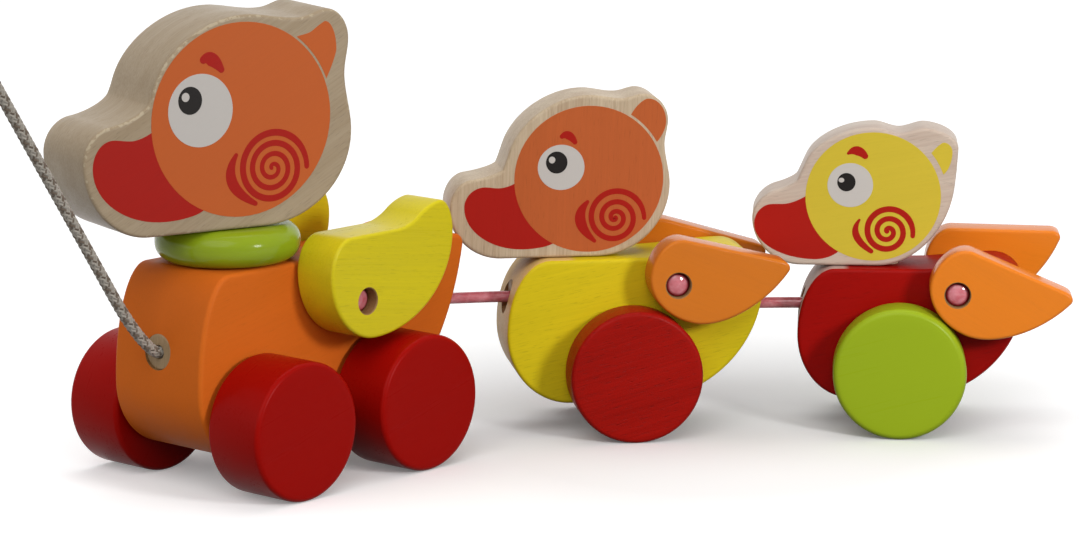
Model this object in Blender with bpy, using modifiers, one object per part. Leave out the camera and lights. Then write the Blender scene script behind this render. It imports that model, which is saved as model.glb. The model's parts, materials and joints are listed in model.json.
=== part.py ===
"""Wooden pull toy: a duck on four wheels leads two ducklings on soft cord links.

Each duck is drawn in its own frame, with X towards its tail, Y towards its right side and Z up from
its axle line. A point of an outline is (x, z, heading): the outline passes through x, z in the
direction of the heading, in degrees from +X towards +Z, and runs on to the next point in an
elliptical arc. Sizes are in metres and angles in degrees.
"""
import math

import bmesh
import bpy
from mathutils import Matrix, Vector

for old in list(bpy.data.objects):
    bpy.data.objects.remove(old, do_unlink=True)

# Fits between pieces
FIT_GAP = 0.0003
RUN_GAP = 0.0004
WHEEL_GAP = 0.0012
WING_GAP = 0.0008

# Wheels and axles
WHEEL_DIAMETER = 0.045
WHEEL_EDGE = 0.0013
MOTHER_WHEEL_WIDTH = 0.0225
DUCKLING_WHEEL_WIDTH = 0.0145
WHEELBASE = 0.0566
AXLE_DIAMETER = 0.008
AXLE_SOCKET = 0.009

# Thickness and rounded edges of the wooden plates
MOTHER_BODY_WIDTH = 0.040
DUCKLING_BODY_WIDTH = 0.028
MOTHER_HEAD_WIDTH = 0.031
DUCKLING_1_HEAD_WIDTH = 0.020
DUCKLING_2_HEAD_WIDTH = 0.019
MOTHER_WING_WIDTH = 0.015
DUCKLING_WING_WIDTH = 0.012
BODY_EDGE = 0.0018
HEAD_EDGE = 0.0012
WING_EDGE = 0.001

# Reach of each body from its axle line, or from midway between the mother's axles
BELLY = 0.0115
MOTHER_BACK = 0.0492
MOTHER_CHEST = 0.0538
MOTHER_TAIL = 0.0702
DUCKLING_1_BACK = 0.038
DUCKLING_1_CHEST = 0.042
DUCKLING_1_TAIL = 0.046
DUCKLING_2_BACK = 0.0333
DUCKLING_2_CHEST = 0.0347
DUCKLING_2_TAIL = 0.042
RUMP_RISE = 0.002

# Place of each neck, the mother's behind her front axle, and reach of each head from its neck
NECK_SETBACK = 0.0081
MOTHER_BEAK = 0.056
MOTHER_NAPE = 0.0388
MOTHER_CROWN = 0.0683
DUCKLING_1_NECK = 0.015
DUCKLING_1_BEAK = 0.0455
DUCKLING_1_NAPE = 0.0296
DUCKLING_1_CROWN = 0.0551
DUCKLING_2_NECK = 0.013
DUCKLING_2_BEAK = 0.0386
DUCKLING_2_NAPE = 0.0308
DUCKLING_2_CROWN = 0.0474

# Neck of the mother, and pegs under the ducklings' heads
COLLAR_DIAMETER = 0.047
COLLAR_HEIGHT = 0.012
COLLAR_EDGE = 0.005
NECK_DOWEL_DIAMETER = 0.012
NECK_HEAD_DEPTH = 0.018
NECK_BODY_DEPTH = 0.028
NECK_SCREW_DIAMETER = 0.004
NECK_SCREW_BITE = 0.014
SCREW_HEAD_DIAMETER = 0.008
SCREW_HEAD_HEIGHT = 0.0025
SCREW_POCKET = 0.0045
PEG_DIAMETER = 0.008
PEG_DEPTH = 0.008
PEG_SPACING = 0.013
PEG_SETBACK = 0.002

# Wing pivots: behind the collar's edge or the axle, and above the wheels
MOTHER_PIVOT_SETBACK = 0.0154
MOTHER_PIVOT_RISE = 0.0139
DUCKLING_1_PIVOT_SETBACK = 0.0143
DUCKLING_1_PIVOT_RISE = 0.0082
DUCKLING_2_PIVOT_SETBACK = 0.019
DUCKLING_2_PIVOT_RISE = 0.0046
WING_HOLE_DIAMETER = 0.0085
KNOB_LENGTH = 0.0035
MOTHER_KNOB_RECESS = 0.003
DUCKLING_KNOB_RECESS = 0.0012

# Soft cords, with the plugs and knots that hold them
SOFT_CORD_DIAMETER = 0.0034
PULL_CORD_DIAMETER = 0.0034
PLUG_DIAMETER = 0.0115
PLUG_LENGTH = 0.006
KNOT_DIAMETER = 0.007
CORD_PLUG_RECESS = 0.0004
CHEST_PLUG_RECESS = 0.0015
TAIL_PLUG_RECESS = 0.003
PULL_CORD_HEIGHT = 0.0235
PLUG_WALL = 0.0005
LINK_1_BEND = 0.0044
LINK_2_BEND = 0.011
BEAK_1_OVERHANG = 0.0042
BEAK_2_OVERHANG = 0.0054
PULL_CORD_REACH = 0.072
PULL_CORD_RISE = 0.106

# Pose: where each piece points, with the wings' droop of left and right side
MOTHER_HEADING = 48.3
HEAD_TURN = -17.0
DUCKLING_1_HEADING = 8.5
DUCKLING_2_HEADING = -4.0
MOTHER_DROOP = (0.0, 4.0)
DUCKLING_1_DROOP = (13.5, 16.3)
DUCKLING_2_DROOP = (23.0, 1.0)

# Outlines of the bodies
MOTHER_BODY = [
    (-MOTHER_CHEST + 0.017, MOTHER_BACK, 180),
    (-MOTHER_CHEST, 0.0115, 270),
    (-MOTHER_CHEST + 0.023, -BELLY, 0),
    (MOTHER_TAIL - 0.0482, -BELLY, 0),
    (MOTHER_TAIL, MOTHER_BACK - 0.0052, 79),
    (MOTHER_TAIL - 0.0042, MOTHER_BACK, 180),
]
DUCKLING_1_BODY = [
    (-DUCKLING_1_CHEST + 0.015, DUCKLING_1_BACK, 180),
    (-DUCKLING_1_CHEST, 0.0125, 270),
    (-DUCKLING_1_CHEST + 0.022, -BELLY, 0),
    (DUCKLING_1_TAIL - 0.041, -BELLY, 0),
    (DUCKLING_1_TAIL, DUCKLING_1_BACK - 0.009, 90),
    (DUCKLING_1_TAIL - 0.011, DUCKLING_1_BACK + RUMP_RISE, 180),
    (DUCKLING_1_TAIL - 0.042, DUCKLING_1_BACK, 180),
]
DUCKLING_2_BODY = [
    (-DUCKLING_2_CHEST + 0.0127, DUCKLING_2_BACK, 180),
    (-DUCKLING_2_CHEST, 0.0105, 270),
    (-DUCKLING_2_CHEST + 0.0177, -BELLY, 0),
    (DUCKLING_2_TAIL - 0.039, -BELLY, 0),
    (DUCKLING_2_TAIL, DUCKLING_2_BACK - 0.0073, 90),
    (DUCKLING_2_TAIL - 0.010, DUCKLING_2_BACK + RUMP_RISE, 180),
    (DUCKLING_2_TAIL - 0.037, DUCKLING_2_BACK, 180),
]

# Outlines of the heads, from the foot of the neck: throat, beak, brow, crown, tuft and nape
MOTHER_HEAD = [
    (-MOTHER_BEAK + 0.0225, 0, 180),
    (-MOTHER_BEAK, 0.025, 90),
    (-MOTHER_BEAK + 0.009, 0.036, 8),
    (-0.0335, 0.042, 55),
    (-0.0315, 0.047, 72),
    (0.001, MOTHER_CROWN, 0),
    (MOTHER_NAPE - 0.0173, MOTHER_CROWN - 0.002, 5),
    (MOTHER_NAPE - 0.0083, MOTHER_CROWN, -5),
    (MOTHER_NAPE - 0.0008, MOTHER_CROWN - 0.0098, 270),
    (MOTHER_NAPE - 0.0023, MOTHER_CROWN - 0.0213, 270),
    (MOTHER_NAPE, 0.029, 270),
    (0.007, 0, 180),
]
DUCKLING_1_HEAD = [
    (-DUCKLING_1_BEAK + 0.0175, 0, 180),
    (-DUCKLING_1_BEAK, 0.017, 90),
    (-DUCKLING_1_BEAK + 0.007, 0.027, 8),
    (-0.0275, 0.0303, 50),
    (-0.0252, 0.0365, 72),
    (0.002, DUCKLING_1_CROWN, 0),
    (DUCKLING_1_NAPE - 0.0156, DUCKLING_1_CROWN - 0.0013, 5),
    (DUCKLING_1_NAPE - 0.0088, DUCKLING_1_CROWN, -5),
    (DUCKLING_1_NAPE - 0.0007, DUCKLING_1_CROWN - 0.0091, 270),
    (DUCKLING_1_NAPE - 0.0018, DUCKLING_1_CROWN - 0.0171, 270),
    (DUCKLING_1_NAPE, 0.0245, 270),
    (0.005, 0, 180),
]
DUCKLING_2_HEAD = [
    (-DUCKLING_2_BEAK + 0.0166, 0, 180),
    (-DUCKLING_2_BEAK, 0.0163, 90),
    (-DUCKLING_2_BEAK + 0.0081, 0.0258, 15),
    (-0.0235, 0.0293, 50),
    (-0.0205, 0.036, 66),
    (0.0025, DUCKLING_2_CROWN, 0),
    (DUCKLING_2_NAPE - 0.0194, DUCKLING_2_CROWN - 0.0018, 5),
    (DUCKLING_2_NAPE - 0.011, DUCKLING_2_CROWN, -5),
    (DUCKLING_2_NAPE, DUCKLING_2_CROWN - 0.0069, 268),
    (DUCKLING_2_NAPE - 0.0014, 0.025, 260),
    (0.004, 0, 180),
]

# Outlines of the wings, from the pivot: front, shoulder, tip and lower edge
MOTHER_WING = [
    (-0.0161, 0.0095, 90),
    (-0.007, 0.0217, 0),
    (0.0145, 0.0217, 0),
    (0.025, 0.0253, 36),
    (0.0345, 0.0286, 0),
    (0.0406, 0.018, 270),
    (0.004, -0.0127, 180),
]
DUCKLING_WING = [
    (-0.0102, 0.0025, 90),
    (-0.001, 0.0155, 0),
    (0.0325, 0.0155, 0),
    (0.0359, 0.0123, 248),
    (0.008, -0.0117, 180),
]


# Collections, finishes and frames

toy = bpy.data.collections.new("wheeled_pull_toy")
tools = bpy.data.collections.new("cutters")
bpy.context.scene.collection.children.link(toy)
bpy.context.scene.collection.children.link(tools)


def linear(code):
    """Linear colour of an sRGB hex code."""
    parts = [int(code[i:i + 2], 16) / 255 for i in (1, 3, 5)]
    return [c / 12.92 if c <= 0.04045 else ((c + 0.055) / 1.055) ** 2.4 for c in parts]


def finish(name, code, roughness):
    """Material of one colour without metal."""
    material = bpy.data.materials.new(name)
    material.use_nodes = True
    shader = material.node_tree.nodes["Principled BSDF"]
    shader.inputs["Base Color"].default_value = (*linear(code), 1)
    shader.inputs["Roughness"].default_value = roughness
    shader.inputs["Metallic"].default_value = 0
    return material


ORANGE = finish("orange_paint", "#E06A1E", 0.45)
RED = finish("red_paint", "#A80F14", 0.4)
YELLOW = finish("yellow_paint", "#EBC81E", 0.45)
LIME = finish("lime_paint", "#93B92B", 0.35)
PALE_WOOD = finish("pale_wood", "#D2BC9A", 0.6)
PINK = finish("pink_soft_plastic", "#D97F88", 0.35)
BRAID = finish("grey_braid", "#8C8373", 0.9)
STEEL = finish("zinc_plated_steel", "#B9BBBD", 0.35)
STEEL.node_tree.nodes["Principled BSDF"].inputs["Metallic"].default_value = 1


def empty(name, parent, location, heading):
    """Empty that carries the pieces of one duck, turned about the upright."""
    holder = bpy.data.objects.new(name, None)
    holder.empty_display_size = 0.01
    toy.objects.link(holder)
    holder.parent = parent
    holder.location = location
    holder.rotation_euler = (0, 0, math.radians(heading))
    return holder


def add(name, data, parent, location, material):
    """Object of the toy at a place in its parent's frame."""
    piece = bpy.data.objects.new(name, data)
    toy.objects.link(piece)
    piece.parent = parent
    piece.location = location
    piece.data.materials.clear()
    piece.data.materials.append(material)
    return piece


# Outlines as elliptical arcs

def arcs(points, closed):
    """Bezier stretches between points with headings: start, two handles and end of each.

    The handles lie on the way to where the two headings cross, as they do on a quarter of an
    ellipse, or a third of the distance along them where they don't cross ahead.
    """
    stretches = []
    for start, end in zip(points, points[1:] + points[:1] if closed else points[1:]):
        a, b = Vector(start[:2]), Vector(end[:2])
        u = Vector((math.cos(math.radians(start[2])), math.sin(math.radians(start[2]))))
        v = Vector((math.cos(math.radians(end[2])), math.sin(math.radians(end[2]))))
        turn = u.cross(v)
        before = after = 0.6 * (b - a).length
        if abs(turn) > 0.02 and (b - a).cross(v) / turn > 0 and u.cross(b - a) / turn > 0:
            before = (b - a).cross(v) / turn
            after = u.cross(b - a) / turn
        stretches.append((a, a + u * before * 0.5523, b - v * after * 0.5523, b))
    return stretches


def walk(stretches, count):
    """Points along Bezier stretches, count to each, with the end of the last."""
    path = []
    for a, p, q, b in stretches:
        for i in range(count):
            t = i / count
            s = 1 - t
            path.append(a * s ** 3 + p * 3 * s * s * t + q * 3 * s * t * t + b * t ** 3)
    return path + [stretches[-1][3]]


def reach(points, height, side):
    """Furthest x of an outline at a height, to the front (-1) or to the tail (1)."""
    path = walk(arcs(points, True), 24)
    found = []
    for a, b in zip(path, path[1:]):
        if (a.y - height) * (b.y - height) < 0:
            found.append(a.x + (b.x - a.x) * (height - a.y) / (b.y - a.y))
    return side * max(side * x for x in found)


# Shapes

def smooth(mesh):
    """Smooth shading that stops at sharp edges."""
    mesh.shade_smooth()
    mesh.set_sharp_from_angle(angle=math.radians(40))


def plate(name, points, width, edge, grain, parent, location, material):
    """Upright wooden plate with an outline in X and Z, centred on Y, its rim rounded by edge."""
    curve = bpy.data.curves.new(name + "_outline", "CURVE")
    curve.dimensions = "2D"
    curve.fill_mode = "BOTH"
    curve.extrude = width / 2
    curve.resolution_u = grain
    curve.render_resolution_u = grain
    spline = curve.splines.new("BEZIER")
    spline.bezier_points.add(len(points) - 1)
    spline.use_cyclic_u = True
    stretches = arcs(points, True)
    for i, (a, p, q, b) in enumerate(stretches):
        knot = spline.bezier_points[i]
        knot.handle_left_type = knot.handle_right_type = "FREE"
        knot.co = (*a, 0)
        knot.handle_right = (*p, 0)
        knot.handle_left = (*stretches[i - 1][2], 0)
    drawn = bpy.data.objects.new(name + "_outline", curve)
    drawn.rotation_euler = (math.radians(90), 0, 0)
    toy.objects.link(drawn)
    bpy.context.view_layer.update()
    solid = bpy.data.meshes.new_from_object(drawn.evaluated_get(bpy.context.evaluated_depsgraph_get()))
    solid.transform(drawn.matrix_world)
    bpy.data.objects.remove(drawn, do_unlink=True)
    bm = bmesh.new()
    bm.from_mesh(solid)
    bmesh.ops.remove_doubles(bm, verts=bm.verts, dist=0.00001)
    bmesh.ops.dissolve_limit(bm, angle_limit=0.01, verts=bm.verts, edges=bm.edges)
    bm.to_mesh(solid)
    bm.free()
    smooth(solid)
    piece = add(name, solid, parent, location, material)
    bevel = piece.modifiers.new("rim", "BEVEL")
    bevel.width = edge
    bevel.segments = 2
    bevel.limit_method = "ANGLE"
    bevel.angle_limit = math.radians(60)
    return piece


def turned(name, profile, steps, closed, parent, location, material):
    """Turned piece about its own Z, from (radius, height) points that run down its outer side."""
    mesh = bpy.data.meshes.new(name)
    bm = bmesh.new()
    points = [bm.verts.new((r, 0, z)) for r, z in profile]
    for a, b in zip(points, points[1:] + points[:1] if closed else points[1:]):
        bm.edges.new((a, b))
    bm.to_mesh(mesh)
    bm.free()
    piece = add(name, mesh, parent, location, material)
    screw = piece.modifiers.new("turning", "SCREW")
    screw.axis = "Z"
    screw.angle = math.tau
    screw.steps = steps
    screw.render_steps = steps
    screw.use_smooth_shade = True
    screw.use_merge_vertices = True
    screw.merge_threshold = 0.00001
    return piece


def rounded(radius, height, edge, count, up):
    """Points of a quarter round between a rim and a face: the face above (1) or below (-1)."""
    turns = [math.pi / 2 * i / count for i in range(count + 1)]
    points = [(radius - edge + edge * math.sin(t), height - up * edge * (1 - math.cos(t))) for t in turns]
    return points if up > 0 else points[::-1]


def bore(piece, start, end, diameter, sides=20):
    """Round hole through a piece between two points of its own frame."""
    a, b = Vector(start), Vector(end)
    mesh = bpy.data.meshes.new(piece.name + "_cutter")
    bm = bmesh.new()
    bmesh.ops.create_cone(bm, cap_ends=True, segments=sides, radius1=diameter / 2,
                          radius2=diameter / 2, depth=(b - a).length)
    bm.to_mesh(mesh)
    bm.free()
    cutter = bpy.data.objects.new(piece.name + "_cutter", mesh)
    tools.objects.link(cutter)
    cutter.hide_render = True
    cutter.display_type = "WIRE"
    cutter.parent = piece
    cutter.location = (a + b) / 2
    cutter.rotation_euler = (b - a).to_track_quat("Z", "Y").to_euler()
    cut = piece.modifiers.new("bore", "BOOLEAN")
    cut.operation = "DIFFERENCE"
    cut.object = cutter


def dowel(name, diameter, length, sides, parent, location, material):
    """Round rod along its own Z, centred on its origin."""
    mesh = bpy.data.meshes.new(name)
    bm = bmesh.new()
    bmesh.ops.create_cone(bm, cap_ends=True, segments=sides, radius1=diameter / 2,
                          radius2=diameter / 2, depth=length)
    bm.to_mesh(mesh)
    bm.free()
    smooth(mesh)
    return add(name, mesh, parent, location, material)


def ball(name, diameter, parent, location, material):
    """Tight stop knot, drawn as a ball."""
    mesh = bpy.data.meshes.new(name)
    bm = bmesh.new()
    bmesh.ops.create_uvsphere(bm, u_segments=10, v_segments=6, radius=diameter / 2)
    bm.to_mesh(mesh)
    bm.free()
    smooth(mesh)
    return add(name, mesh, parent, location, material)


def tube(name, path, diameter, parent, material):
    """Cord along a path of its parent's frame."""
    curve = bpy.data.curves.new(name, "CURVE")
    curve.dimensions = "3D"
    curve.bevel_depth = diameter / 2
    curve.bevel_resolution = 2
    curve.use_fill_caps = True
    spline = curve.splines.new("POLY")
    spline.points.add(len(path) - 1)
    for point, place in zip(spline.points, path):
        point.co = (*place, 1)
    return add(name, curve, parent, (0, 0, 0), material)


# Groups of pieces that every duck has

def wheels(name, frame, centre, body, body_width, wheel_width, material):
    """Two wheels with blind sockets on one axle, which turns in the body."""
    radius = WHEEL_DIAMETER / 2
    socket = AXLE_DIAMETER / 2 + FIT_GAP
    profile = [(0, wheel_width)]
    profile += rounded(radius, wheel_width, WHEEL_EDGE, 2, 1)
    profile += rounded(radius, 0, WHEEL_EDGE, 2, -1)
    profile += [(socket, 0), (socket, AXLE_SOCKET), (0, AXLE_SOCKET)]
    for side, hand in ((-1, "left"), (1, "right")):
        place = centre + Vector((0, side * (body_width / 2 + WHEEL_GAP), 0))
        wheel = turned(f"{name}_{hand}_wheel", profile, 28, False, frame, place, material)
        wheel.rotation_euler = (math.radians(-90 * side), 0, 0)
    length = body_width + 2 * (WHEEL_GAP + AXLE_SOCKET - FIT_GAP)
    axle = dowel(f"{name}_axle", AXLE_DIAMETER, length, 20, frame, centre, PALE_WOOD)
    axle.rotation_euler = (math.radians(90), 0, 0)
    at = centre - body.location
    far = Vector((0, body_width, 0))
    bore(body, at - far, at + far, AXLE_DIAMETER + 2 * RUN_GAP)


def wings(name, frame, pivot, body, body_width, points, width, recess, droop, material):
    """Two wings that swing on one soft cord through the body, held by its thick ends."""
    inner = body_width / 2 + WING_GAP
    seat = inner + width - recess - KNOB_LENGTH
    for side, hand, angle in ((-1, "left", droop[0]), (1, "right", droop[1])):
        place = pivot + Vector((0, side * (inner + width / 2), 0))
        wing = plate(f"{name}_{hand}_wing", points, width, WING_EDGE, 6, frame, place, material)
        wing.modifiers["rim"].segments = 1
        wing.rotation_euler = (0, math.radians(angle), 0)
        through = Vector((0, width, 0))
        bore(wing, -through, through, SOFT_CORD_DIAMETER + 2 * RUN_GAP, 16)
        bottom = side * (width / 2 - recess - KNOB_LENGTH - RUN_GAP)
        bore(wing, (0, bottom, 0), (0, side * width, 0), WING_HOLE_DIAMETER)
    knob = WING_HOLE_DIAMETER / 2 - 2 * RUN_GAP
    cord = SOFT_CORD_DIAMETER / 2
    upper = rounded(knob, seat + KNOB_LENGTH, KNOB_LENGTH * 0.5, 2, 1) + [(knob, seat), (cord, seat)]
    profile = [(0, seat + KNOB_LENGTH)] + upper
    profile += [(r, -z) for r, z in profile[::-1]]
    rod = turned(f"{name}_wing_cord", profile, 12, False, frame, pivot, PINK)
    rod.rotation_euler = (math.radians(90), 0, 0)
    at = pivot - body.location
    far = Vector((0, body_width, 0))
    bore(body, at - far, at + far, SOFT_CORD_DIAMETER + 2 * FIT_GAP, 16)


def plug(name, frame, shift, body, face, height, side, cord, cord_material):
    """Drilled plug in a hole of the body and the stop knot of its cord behind it.

    The plug's outer face is at x = face and looks to the front (-1) or to the tail (1).
    """
    hole = PLUG_DIAMETER + 2 * FIT_GAP
    back = face - side * (PLUG_LENGTH + KNOT_DIAMETER + 2 * FIT_GAP)
    bore(body, (back, 0, height), (face + side * 0.02, 0, height), hole)
    outer, inner = PLUG_DIAMETER / 2, cord / 2 + FIT_GAP
    profile = [(outer, 0), (outer, -PLUG_LENGTH), (inner, -PLUG_LENGTH), (inner, 0)]
    disc = turned(name, profile, 16, True, frame, shift + Vector((face, 0, height)), PALE_WOOD)
    disc.rotation_euler = (0, math.radians(90 * side), 0)
    centre = face - side * (PLUG_LENGTH + FIT_GAP + KNOT_DIAMETER / 2)
    ball(name.replace("_plug", "_knot"), KNOT_DIAMETER, frame, shift + Vector((centre, 0, height)),
         cord_material)


def pegged_head(name, frame, shift, body, back, neck, points, width):
    """Duckling's head, glued to its body on two pegs."""
    seat = shift + Vector((-neck, 0, back + FIT_GAP))
    head = plate(f"{name}_head", points, width, HEAD_EDGE, 5, frame, seat, PALE_WOOD)
    for side, end in ((-1, "front"), (1, "rear")):
        x = PEG_SETBACK + side * PEG_SPACING / 2
        socket = PEG_DIAMETER + 2 * FIT_GAP
        bore(head, (x, 0, -0.01), (x, 0, PEG_DEPTH), socket, 16)
        bore(body, (x - neck, 0, back - PEG_DEPTH), (x - neck, 0, back + 0.01), socket, 16)
        length = 2 * PEG_DEPTH - FIT_GAP
        place = seat + Vector((x, 0, -FIT_GAP / 2))
        dowel(f"{name}_{end}_peg", PEG_DIAMETER, length, 14, frame, place, PALE_WOOD)


# Mother duck

root = empty("pull_toy", None, (0, 0, 0), 0)
axle_line = Vector((0, 0, WHEEL_DIAMETER / 2))
mother = empty("mother", root, axle_line, MOTHER_HEADING)
here = Vector((0, 0, 0))
mother_body = plate("mother_body", MOTHER_BODY, MOTHER_BODY_WIDTH, BODY_EDGE, 8, mother, here, ORANGE)
for end, side in (("front", -1), ("rear", 1)):
    centre = Vector((side * WHEELBASE / 2, 0, 0))
    wheels(f"mother_{end}", mother, centre, mother_body, MOTHER_BODY_WIDTH, MOTHER_WHEEL_WIDTH, RED)
neck_x = NECK_SETBACK - WHEELBASE / 2
wing_plane = MOTHER_BODY_WIDTH / 2 + WING_GAP
collar_edge = neck_x + math.sqrt(max((COLLAR_DIAMETER / 2) ** 2 - wing_plane ** 2, 0))
pivot = Vector((collar_edge + MOTHER_PIVOT_SETBACK, 0, WHEEL_DIAMETER / 2 + MOTHER_PIVOT_RISE))
wings("mother", mother, pivot, mother_body, MOTHER_BODY_WIDTH, MOTHER_WING, MOTHER_WING_WIDTH,
      MOTHER_KNOB_RECESS, MOTHER_DROOP, YELLOW)

# Neck of the mother: collar, dowel and screw turn with the head
collar_foot = MOTHER_BACK + FIT_GAP
seat = Vector((neck_x, 0, collar_foot + COLLAR_HEIGHT + FIT_GAP))
mother_head = plate("mother_head", MOTHER_HEAD, MOTHER_HEAD_WIDTH, HEAD_EDGE, 5, mother, seat, PALE_WOOD)
mother_head.rotation_euler = (0, 0, math.radians(HEAD_TURN))
socket = NECK_DOWEL_DIAMETER + 2 * FIT_GAP
bore(mother_head, (0, 0, -0.01), (0, 0, NECK_HEAD_DEPTH), socket)
profile = rounded(COLLAR_DIAMETER / 2, COLLAR_HEIGHT, COLLAR_EDGE, 3, 1)
profile += rounded(COLLAR_DIAMETER / 2, 0, COLLAR_EDGE, 3, -1)
profile += [(socket / 2, 0), (socket / 2, COLLAR_HEIGHT)]
turned("neck_collar", profile, 28, True, mother, (neck_x, 0, collar_foot), LIME)
dowel_foot = MOTHER_BACK - NECK_BODY_DEPTH + FIT_GAP
dowel_top = seat.z + NECK_HEAD_DEPTH - FIT_GAP
screw_hole = NECK_SCREW_DIAMETER / 2 + FIT_GAP
screw_top = dowel_foot + NECK_SCREW_BITE
dowel_side = NECK_DOWEL_DIAMETER / 2
profile = [(0, dowel_top), (dowel_side, dowel_top), (dowel_side, dowel_foot)]
profile += [(screw_hole, dowel_foot), (screw_hole, screw_top + FIT_GAP), (0, screw_top + FIT_GAP)]
turned("neck_dowel", profile, 20, False, mother, (neck_x, 0, 0), PALE_WOOD)
ledge = -BELLY + SCREW_POCKET
screw_side, screw_rim = NECK_SCREW_DIAMETER / 2, SCREW_HEAD_DIAMETER / 2
head_top = ledge - FIT_GAP
head_foot = head_top - SCREW_HEAD_HEIGHT
profile = [(0, screw_top), (screw_side, screw_top), (screw_side, head_top), (screw_rim, head_top)]
profile += rounded(screw_rim, head_foot, SCREW_HEAD_HEIGHT * 0.6, 2, -1) + [(0, head_foot)]
turned("neck_screw", profile, 16, False, mother, (neck_x, 0, 0), STEEL)
hole_foot = MOTHER_BACK - NECK_BODY_DEPTH
for low, high, wide, sides in (
        (hole_foot, MOTHER_BACK + 0.01, NECK_DOWEL_DIAMETER, 20),
        (-BELLY, hole_foot + 0.001, NECK_SCREW_DIAMETER, 16),
        (-BELLY - 0.01, ledge, SCREW_HEAD_DIAMETER, 16)):
    bore(mother_body, (neck_x, 0, low), (neck_x, 0, high), wide + 2 * RUN_GAP, sides)

# Plugs at the mother's chest and tail; each link runs just under the pegs of the duckling behind it
under_pegs = PEG_DEPTH + PLUG_WALL + FIT_GAP + PLUG_DIAMETER / 2
link_1_height = DUCKLING_1_BACK - under_pegs
link_2_height = DUCKLING_2_BACK - under_pegs
cord_face = reach(MOTHER_BODY, PULL_CORD_HEIGHT, -1) + CORD_PLUG_RECESS
plug("cord_plug", mother, here, mother_body, cord_face, PULL_CORD_HEIGHT, -1, PULL_CORD_DIAMETER, BRAID)
tail_face = reach(MOTHER_BODY, link_1_height, 1) - TAIL_PLUG_RECESS
plug("mother_tail_plug", mother, here, mother_body, tail_face, link_1_height, 1, SOFT_CORD_DIAMETER, PINK)

# Pull cord, taut from the chest plug to the knot where a hand holds it
route = [
    (cord_face + PLUG_LENGTH, PULL_CORD_HEIGHT, 180),
    (cord_face, PULL_CORD_HEIGHT, 180),
    (cord_face - 0.018, PULL_CORD_HEIGHT + 0.0195, 122.5),
    (cord_face - PULL_CORD_REACH, PULL_CORD_HEIGHT + PULL_CORD_RISE, 122.5),
]
path = walk(arcs(route[:3], False), 4)[:-1] + walk(arcs(route[2:], False), 8)
tube("pull_cord", [(p.x, 0, p.y) for p in path], PULL_CORD_DIAMETER, mother, BRAID)
beyond = (path[-1] - path[-2]).normalized() * (KNOT_DIAMETER / 2 + FIT_GAP)
end = path[-1] + beyond
ball("pull_cord_end_knot", KNOT_DIAMETER, mother, (end.x, 0, end.y), BRAID)


# Ducklings, each placed by the link from the tail before it

def duckling(name, tail, link_height, bend, overhang, heading, points, back, sizes):
    """Duckling behind a tail, with its link.

    The tail is given as the place and heading of its plug in plan, and how far it reaches on from
    there and to each side. The link runs straight out of it, bends and runs straight into the
    chest, as far on as lets the beak hang over the tail's corner by the overhang. The duckling's
    empty stands on the bend, where it swings, and its pieces are set out from its axle, which lies
    at shift from there.
    """
    head_points, head_width, neck, beak, pivot, droop, body_material, wheel_material = sizes
    start, before, beyond, aside = tail
    u = Vector((math.cos(math.radians(before)), math.sin(math.radians(before))))
    v = Vector((math.cos(math.radians(heading)), math.sin(math.radians(heading))))
    hinge = start + u * bend
    swing = math.radians(before - heading)
    corner = (beyond - bend) * math.cos(swing) + aside * abs(math.sin(swing))
    shift = Vector((corner - overhang + beak + neck, 0, 0))
    face = reach(points, link_height, -1) + CHEST_PLUG_RECESS
    onward = shift.x + face
    frame = empty(name, root, (hinge.x, hinge.y, WHEEL_DIAMETER / 2), heading)
    width = DUCKLING_BODY_WIDTH
    body = plate(f"{name}_body", points, width, BODY_EDGE, 7, frame, shift, body_material)
    wheels(name, frame, shift, body, width, DUCKLING_WHEEL_WIDTH, wheel_material)
    wings(name, frame, shift + Vector(pivot), body, width, DUCKLING_WING, DUCKLING_WING_WIDTH,
          DUCKLING_KNOB_RECESS, droop, ORANGE)
    pegged_head(name, frame, shift, body, back, neck, head_points, head_width)
    plug(f"{name}_chest_plug", frame, shift, body, face, link_height, -1, SOFT_CORD_DIAMETER, PINK)
    way = [
        (*(start - u * PLUG_LENGTH), before),
        (*start, before),
        (*(hinge + v * onward), heading),
        (*(hinge + v * (onward + PLUG_LENGTH)), heading),
    ]
    path = walk(arcs(way[:2], False), 2)[:-1] + walk(arcs(way[1:3], False), 10)[:-1]
    path += walk(arcs(way[2:], False), 2)
    height = WHEEL_DIAMETER / 2 + link_height
    tube(f"{name}_link", [(p.x, p.y, height) for p in path], SOFT_CORD_DIAMETER, root, PINK)
    return frame, shift, body


plan = Matrix.Rotation(math.radians(MOTHER_HEADING), 2)
tail = (plan @ Vector((tail_face, 0)), MOTHER_HEADING, MOTHER_TAIL - tail_face, MOTHER_BODY_WIDTH / 2)
pivot = (DUCKLING_1_PIVOT_SETBACK, 0, WHEEL_DIAMETER / 2 + DUCKLING_1_PIVOT_RISE)
first, first_shift, first_body = duckling(
    "duckling_1", tail, link_1_height, LINK_1_BEND, BEAK_1_OVERHANG, DUCKLING_1_HEADING,
    DUCKLING_1_BODY, DUCKLING_1_BACK,
    (DUCKLING_1_HEAD, DUCKLING_1_HEAD_WIDTH, DUCKLING_1_NECK, DUCKLING_1_BEAK, pivot, DUCKLING_1_DROOP,
     YELLOW, RED))
face = reach(DUCKLING_1_BODY, link_2_height, 1) - TAIL_PLUG_RECESS
plug("duckling_1_tail_plug", first, first_shift, first_body, face, link_2_height, 1, SOFT_CORD_DIAMETER,
     PINK)
plan = Matrix.Rotation(math.radians(DUCKLING_1_HEADING), 2)
place = first.location.xy + plan @ (first_shift.xy + Vector((face, 0)))
tail = (place, DUCKLING_1_HEADING, DUCKLING_1_TAIL - face, DUCKLING_BODY_WIDTH / 2)
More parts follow.
